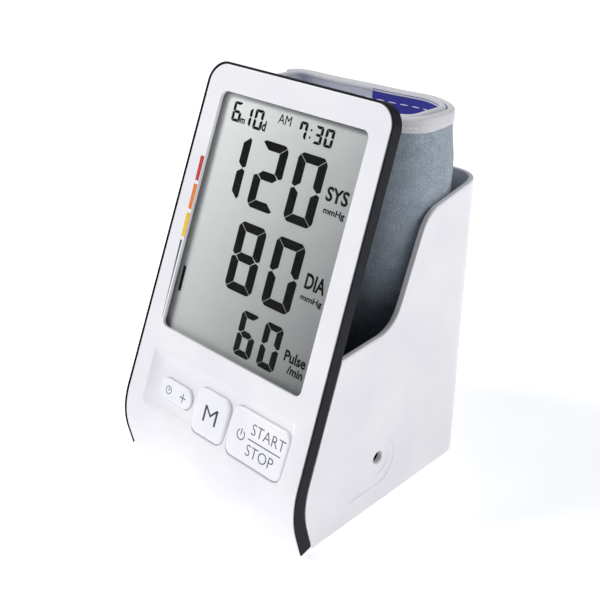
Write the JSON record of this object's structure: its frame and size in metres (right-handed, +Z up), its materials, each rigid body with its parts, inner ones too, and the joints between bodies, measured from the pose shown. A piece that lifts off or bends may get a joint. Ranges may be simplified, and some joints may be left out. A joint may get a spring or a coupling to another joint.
{
  "type": "upper arm blood pressure monitor",
  "caption": "Desk-top upper arm blood pressure monitor with a leaning display unit, three keys and a rolled fabric cuff standing in its rear pocket.",
  "frame": {"origin": "on the surface it stands on, under the middle of the housing's outline", "axes": "+Z up, the display faces -Y and leans back, +X is to the right as seen from the front"},
  "size_m": [0.1044, 0.1112, 0.1694],
  "materials": {
    "housing_white": "smooth glossy white with a faint cool tint",
    "band_charcoal": "fine satin blue-black",
    "liner_charcoal": "matt near-black",
    "key_white": "satin white keys with printed grey symbols",
    "window_clear": "clear hard-coated window",
    "lcd_grey": "grey reflective display glass",
    "inner_natural": "natural moulded plastic",
    "inner_black": "black moulded plastic",
    "silicone_grey": "soft silicone",
    "board_green": "green solder resist",
    "ribbon_amber": "polyimide film",
    "plated_steel": "bright plated steel",
    "foam_dark": "foam",
    "tubing_clear": "translucent silicone tube",
    "cell_wrap": "printed cell sleeve",
    "foot_rubber": "matt rubber",
    "cuff_fabric": "grey-blue woven nylon with a soft nap",
    "lining_blue": "blue woven lining with pale stitching",
    "binding_pale": "pale woven edge tape",
    "bladder_film": "smooth bladder film",
    "hook_tape": "hook tape",
    "inlet_grey": "grey moulded inlet"
  },
  "bodies": {
    "housing": {"front_cover": "housing_white", "mid_frame": "band_charcoal", "unit_back_cover": "band_charcoal", "rear_body": "housing_white", "pocket_liner": "liner_charcoal", "base_cover": "housing_white", "battery_tray": "inner_black", "display_window": "window_clear", "lcd_panel": "lcd_grey", "lcd_holder": "inner_natural", "lcd_connector_strip": "silicone_grey", "main_board": "board_green", "key_board": "board_green", "board_ribbon": "ribbon_amber", "processor_chip": "inner_black", "power_board": "board_green", "rubber_keypad": "silicone_grey", "pump_motor": "plated_steel", "pump_head": "inner_natural", "pump_cushion": "foam_dark", "air_valve": "inner_black", "pressure_sensor": "inner_natural", "air_manifold": "inner_natural", "pump_tube": "tubing_clear", "sensor_tube": "tubing_clear", "socket_tube": "tubing_clear", "air_socket": "inner_natural", "power_jack": "inner_black", "buzzer": "inner_black", "left_contact_plate": "plated_steel", "right_contact_plate": "plated_steel", "battery_1": "cell_wrap", "battery_spring_1": "plated_steel", "base_screw_1": "plated_steel", "foot_1": "foot_rubber", "battery_2": "cell_wrap", "battery_spring_2": "plated_steel", "base_screw_2": "plated_steel", "foot_2": "foot_rubber", "battery_3": "cell_wrap", "battery_spring_3": "plated_steel", "base_screw_3": "plated_steel", "foot_3": "foot_rubber", "battery_4": "cell_wrap", "battery_spring_4": "plated_steel", "base_screw_4": "plated_steel", "foot_4": "foot_rubber"},
    "clock_plus_key": {"clock_plus_key": "key_white"},
    "memory_key": {"memory_key": "key_white"},
    "start_stop_key": {"start_stop_key": "key_white"},
    "battery_door": {"battery_door": "housing_white"},
    "pump_rotor": {"pump_eccentric": "plated_steel"},
    "valve_plunger": {"valve_plunger": "plated_steel"},
    "cuff": {"cuff_cover": "cuff_fabric", "cuff_bladder": "bladder_film", "cuff_lining": "lining_blue", "cuff_top_binding": "binding_pale", "cuff_bottom_binding": "binding_pale", "cuff_hook_pad": "hook_tape", "cuff_air_inlet": "inlet_grey"}
  },
  "joints": [
    {"name": "clock_plus_rock", "type": "hinge", "parent": "housing", "child": "clock_plus_key", "pos_m": [-0.02275, -0.04746, 0.03893], "axis": [0, -0.3345, -0.9424], "range_deg": [-2.5, 2.5], "stiffness_Nm_per_rad": 0.6},
    {"name": "memory_key_press", "type": "slide", "parent": "housing", "child": "memory_key", "axis": [0, 0.9424, -0.3345], "range_m": [0, 0.0008], "stiffness_N_per_m": 900},
    {"name": "start_stop_key_press", "type": "slide", "parent": "housing", "child": "start_stop_key", "axis": [0, 0.9424, -0.3345], "range_m": [0, 0.0008], "stiffness_N_per_m": 900},
    {"name": "battery_door_slide", "type": "slide", "parent": "housing", "child": "battery_door", "axis": [0, 1, 0], "range_m": [0, 0.045]},
    {"name": "pump_rotor_spin", "type": "hinge", "parent": "housing", "child": "pump_rotor", "pos_m": [0, -0.028, 0.0245], "axis": [1, 0, 0], "continuous": true},
    {"name": "valve_plunger_lift", "type": "slide", "parent": "housing", "child": "valve_plunger", "axis": [0, 0, 1], "range_m": [0, 0.001], "stiffness_N_per_m": 400},
    {"name": "cuff_lift", "type": "slide", "parent": "housing", "child": "cuff", "axis": [0, 0, 1], "range_m": [0, 0.15]}
  ]
}
